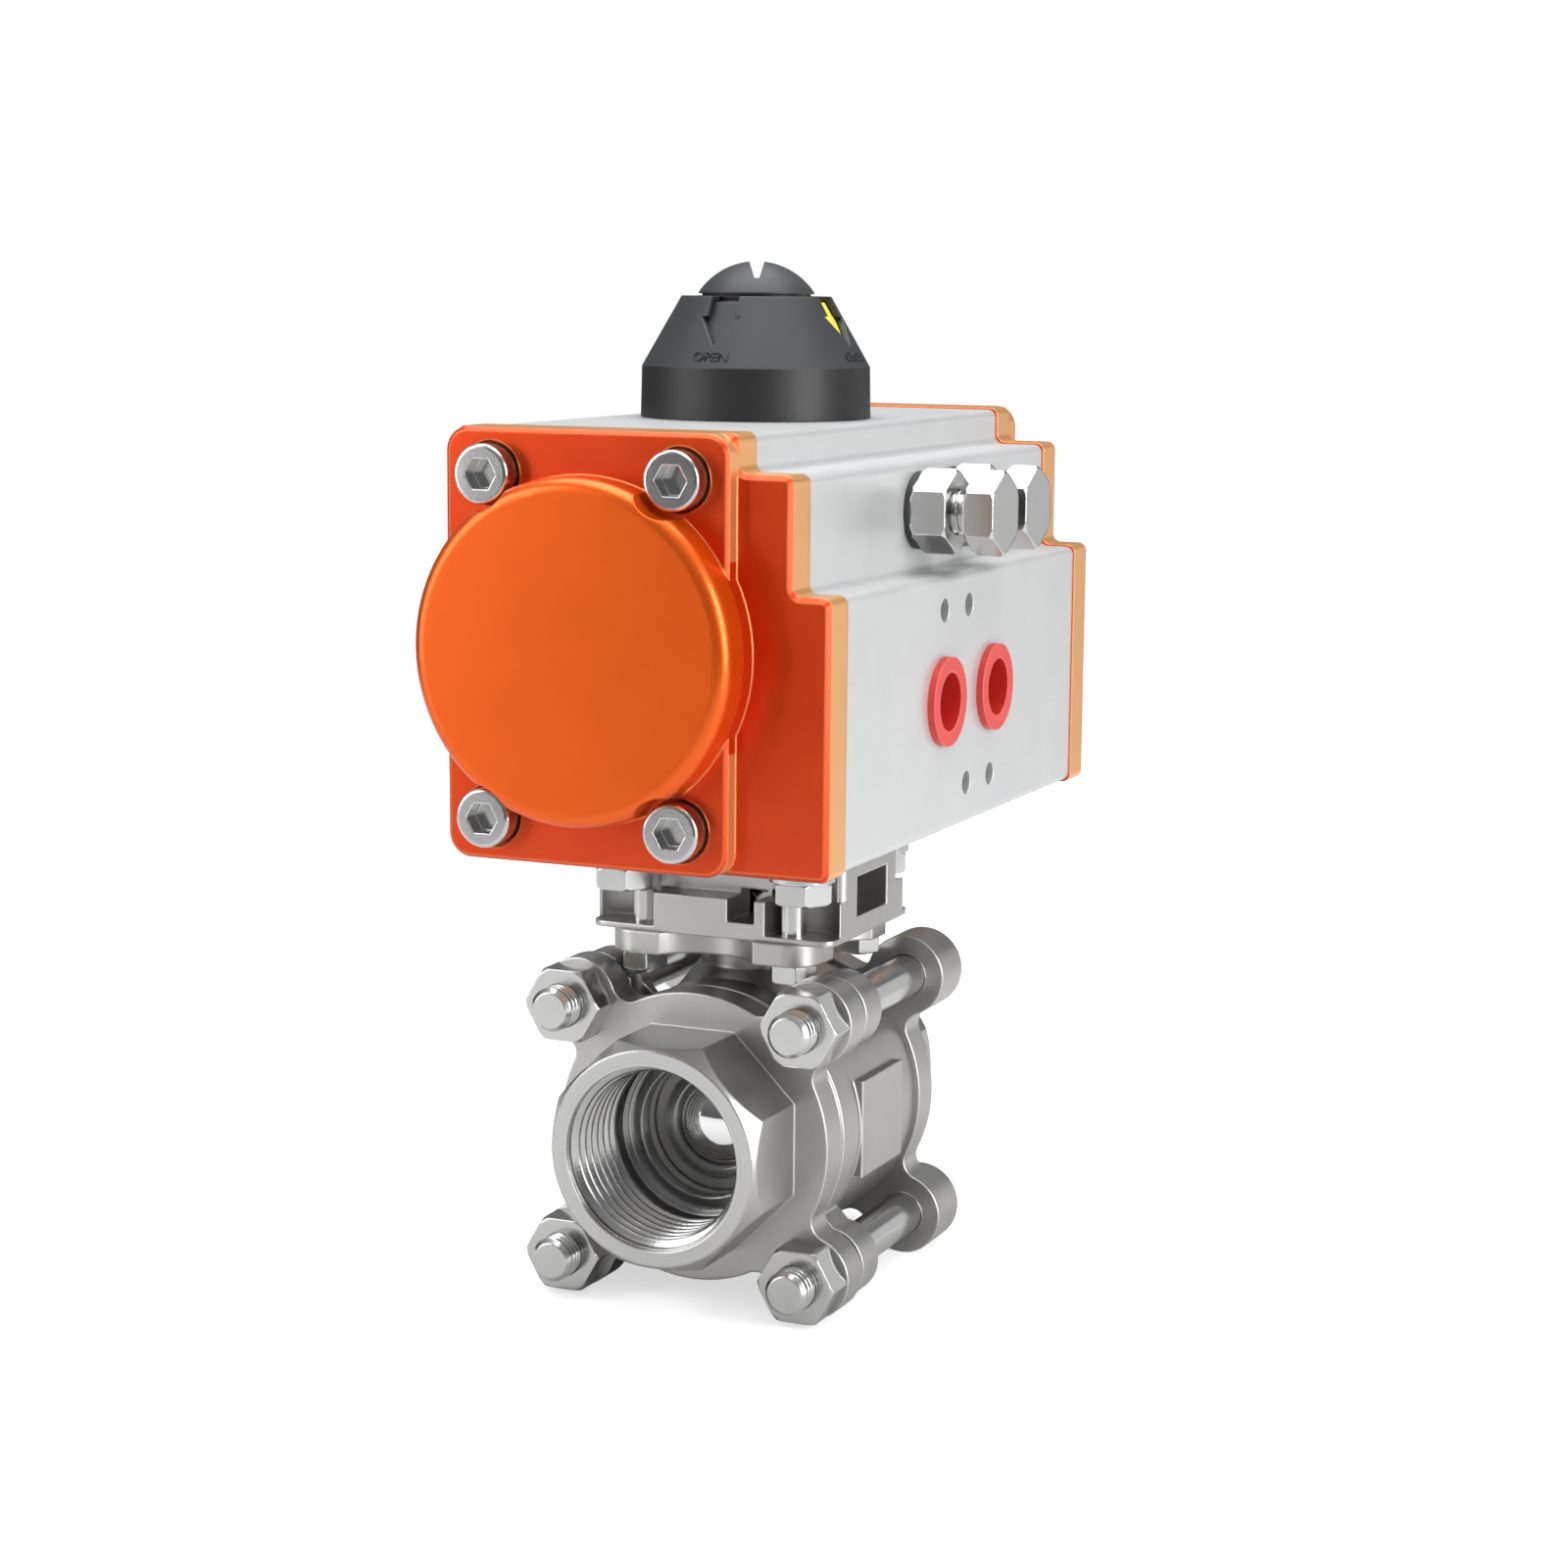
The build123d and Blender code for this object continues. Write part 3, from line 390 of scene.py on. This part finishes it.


# %% [markdown]
# ### Painted highlights on the boss and the step walls, and a dark foot
# The round boss is painted a brighter orange than the cast face behind it, as a painted
# highlight. The walls that run along the bore, outside the boss, are painted pale gold as a highlight.
# Both are masks worked out from where a point is and which way its surface faces. The
# indicator's straight foot is blacker than its cone, which is a mask by height alone.

# %% Areas of the end caps and the indicator
def cap_areas(made, axis_height, boss_r, plate_off, centre_y):
    """Adds painted highlights on the boss and on the walls to the end caps' finish.

    The boss is what lies further than plate_off from centre_y along the bore. A wall is
    outside boss_r and has a normal mostly across the bore."""
    t = made.node_tree
    shader = t.nodes["Principled BSDF"]
    here = t.nodes.new("ShaderNodeTexCoord")
    place, facing = t.nodes.new("ShaderNodeSeparateXYZ"), t.nodes.new("ShaderNodeSeparateXYZ")
    t.links.new(here.outputs["Object"], place.inputs[0])
    t.links.new(here.outputs["Normal"], facing.inputs[0])
    rise = maths(t, "SUBTRACT", place.outputs["Z"], axis_height)
    out = maths(t, "SQRT", maths(t, "ADD", maths(t, "MULTIPLY", place.outputs["X"], place.outputs["X"]),
                                 maths(t, "MULTIPLY", rise, rise)))
    off = maths(t, "ABSOLUTE", maths(t, "SUBTRACT", place.outputs["Y"], centre_y))
    boss_highlight = maths(t, "GREATER_THAN", off, plate_off)
    across = maths(t, "LESS_THAN", maths(t, "ABSOLUTE", facing.outputs["Y"]), 0.6)
    wall_highlight = maths(t, "MULTIPLY", across, maths(t, "GREATER_THAN", out, boss_r))
    cast = shader.inputs["Base Color"].links[0].from_socket
    # Painted highlight: the boss is painted a brighter orange, and the walls across the bore a pale gold.
    lathe_or_boss_highlight = mix_colour(t, boss_highlight, cast, (0.78, 0.105, 0.003))
    t.links.new(mix_colour(t, wall_highlight, lathe_or_boss_highlight, (0.80, 0.40, 0.14)), shader.inputs["Base Color"])


ports = {m["name"]: m for m in frame["record"]["mounts"] if m["name"].endswith("_port")}
inlet_y, outlet_y = ports["inlet_port"]["pos_m"][1], ports["outlet_port"]["pos_m"][1]
centre_y = (inlet_y + outlet_y) / 2
thread_r = ports["inlet_port"]["dims"]["r_mm"] / 1000
thread_length = ports["inlet_port"]["dims"]["length_mm"] / 1000
MOUTH_RING_R = 0.0196
WALL_EXTRA, MOUTH_SKIN = 0.0006, 0.0004
machined_casting = machined(looks["cast_stainless"], thread_r + WALL_EXTRA, MOUTH_RING_R,
                            outlet_y - centre_y - MOUTH_SKIN, centre_y)

cap_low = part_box("front_cap")[0]
bore_height = (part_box("front_piston")[0].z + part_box("front_piston")[1].z) / 2
BOSS_PROUD, BOSS_R = 0.0068, 0.0302
cap_areas(looks["cap_orange"], bore_height, BOSS_R, centre_y - cap_low.y - BOSS_PROUD, centre_y)

HOUSING_BAND = 0.0092


def dark_foot(made, edge_height):
    """Darkens a finish below edge_height."""
    t = made.node_tree
    shader = t.nodes["Principled BSDF"]
    here, place = t.nodes.new("ShaderNodeTexCoord"), t.nodes.new("ShaderNodeSeparateXYZ")
    t.links.new(here.outputs["Object"], place.inputs[0])
    below = maths(t, "LESS_THAN", place.outputs["Z"], edge_height)
    upper = shader.inputs["Base Color"].links[0].from_socket
    t.links.new(mix_colour(t, below, upper, (0.006, 0.006, 0.007)), shader.inputs["Base Color"])


dark_foot(looks["indicator_black"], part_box("indicator_housing")[0].z + HOUSING_BAND)

slots = {s["node"]: s["material_slot"] for s in frame["record"]["subparts"]}
for node, thing in frame["nodes"].items():
    look_here = machined_casting if node in ("inlet_end_cap", "outlet_end_cap") else looks[slots[node]]
    thing.data.materials.clear()
    thing.data.materials.append(look_here)
print("ports at", inlet_y, outlet_y, "thread radius", thread_r)

# %% [markdown]
# ## Pipe thread
# The solids leave the ports plain at the thread's major radius. The thread is a skin on
# that wall. Along any line in the wall its height is a triangle wave, and the wave moves
# on by one pitch for each turn, which makes it a helix. It fades in over the first
# millimetres, as the countersink does that leads the pipe in.

# %% Pipe thread
PITCH, THREAD_DEPTH = 0.002309, 0.00148
THREAD_START, THREAD_STOP, THREAD_FADE = 0.0004, 0.001, 0.0022
SKIN_GAP = 0.00001


def thread_skin(name, mouth_y, inwards):
    """radius = wall - depth * fade * triangle(distance / pitch - angle / full turn).

    The grid runs along the thread and round it; a second cylinder just inside the wall
    closes the skin behind."""
    along, around = 150, 120
    d = np.linspace(THREAD_START, thread_length - THREAD_STOP, along)[:, None]
    a = np.linspace(0, 2 * np.pi, around, endpoint=False)[None, :]
    wave = (d / PITCH - a / (2 * np.pi)) % 1.0
    flat_top = np.clip(1.35 * (1 - np.abs(2 * wave - 1)) - 0.15, 0, 1)
    fade = np.clip((d - THREAD_START) / THREAD_FADE, 0, 1)
    r_in = thread_r - 3 * SKIN_GAP - THREAD_DEPTH * fade * flat_top
    r_out = np.full_like(r_in, thread_r - SKIN_GAP)
    sheets = []
    for r in (r_in, r_out):
        x, z = r * np.cos(a), r * np.sin(a)
        sheets.append(np.stack([x, mouth_y + inwards * d + 0 * x, z], axis=-1).reshape(-1, 3))
    points = np.concatenate(sheets)
    i, j = np.meshgrid(np.arange(along - 1), np.arange(around), indexing="ij")
    k = (j + 1) % around
    near, far = i * around, (i + 1) * around
    quad = np.stack([near + j, near + k, far + k, far + j], -1).reshape(-1, 4)
    back = quad[:, ::-1] + along * around
    jj = np.arange(around)
    kk = (jj + 1) % around
    last, gap = (along - 1) * around, along * around
    first_cap = np.stack([jj, jj + gap, kk + gap, kk], -1)
    last_cap = np.stack([kk + last, kk + last + gap, jj + last + gap, jj + last], -1)
    faces = np.concatenate([quad, back, first_cap, last_cap])
    if inwards < 0:
        faces = faces[:, ::-1]
    mesh = bpy.data.meshes.new(name)
    mesh.from_pydata(points.tolist(), [], faces.tolist())
    smooth = np.repeat([True, False], [len(quad), len(faces) - len(quad)])
    mesh.polygons.foreach_set("use_smooth", smooth)
    skin = bpy.data.objects.new(name, mesh)
    bpy.context.collection.objects.link(skin)
    mesh.materials.append(machined_casting)
    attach(skin, "housing")
    print(name, len(faces), "faces")


thread_skin("inlet_thread", inlet_y, 1)
thread_skin("outlet_thread", outlet_y, -1)

# %% [markdown]
# ## Words on the indicator
# The housing's cone carries OPEN beside two windows and CLOSE beside the other two. Flat
# text becomes a mesh, and then each vertex is wrapped: its x becomes an angle round the
# cone and its y a distance up the slope.

# %% Raised words
low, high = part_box("indicator_housing")
axis_x, axis_y = (low.x + high.x) / 2, (low.y + high.y) / 2
FOOT_R, NECK_R, FOOT_Z, NECK_Z = 0.0206, 0.0135, low.z + HOUSING_BAND, high.z
slope = math.hypot(FOOT_R - NECK_R, NECK_Z - FOOT_Z)


def word(name, letters, facing, up_slope=0.0022, tall=0.0026, proud=0.00018):
    """radius = FOOT_R + (NECK_R - FOOT_R) * s and angle = facing + x / radius, where s is
    the share of the slope climbed. The text's own height is laid along the cone's normal."""
    curve = bpy.data.curves.new(name, "FONT")
    curve.body, curve.size, curve.align_x, curve.align_y = letters, tall, "CENTER", "CENTER"
    curve.extrude = proud
    flat = bpy.data.objects.new(name + "_flat", curve)
    bpy.context.collection.objects.link(flat)
    bpy.context.view_layer.update()
    graph = bpy.context.evaluated_depsgraph_get()
    mesh = bpy.data.meshes.new_from_object(flat.evaluated_get(graph))
    bpy.data.objects.remove(flat)
    v = np.empty(len(mesh.vertices) * 3)
    mesh.vertices.foreach_get("co", v)
    v = v.reshape(-1, 3)
    s = (up_slope + v[:, 1]) / slope
    r = FOOT_R + (NECK_R - FOOT_R) * s
    angle = facing + v[:, 0] / r
    out_r = r + v[:, 2] * (NECK_Z - FOOT_Z) / slope
    z = FOOT_Z + (NECK_Z - FOOT_Z) * s + v[:, 2] * (FOOT_R - NECK_R) / slope
    placed = np.stack([axis_x + out_r * np.cos(angle), axis_y + out_r * np.sin(angle), z], -1)
    mesh.vertices.foreach_set("co", placed.astype(np.float32).ravel())
    mesh.name = name
    mesh.materials.clear()
    mesh.materials.append(ink)
    piece = bpy.data.objects.new(name, mesh)
    bpy.context.collection.objects.link(piece)
    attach(piece, "housing")


for label, letters, degrees in (("front", "OPEN", -90), ("back", "OPEN", 90),
                                ("right", "CLOSE", 0), ("left", "CLOSE", 180)):
    word("word_" + label, letters, math.radians(degrees))
print("words on the cone, slope", round(slope * 1000, 2), "mm")
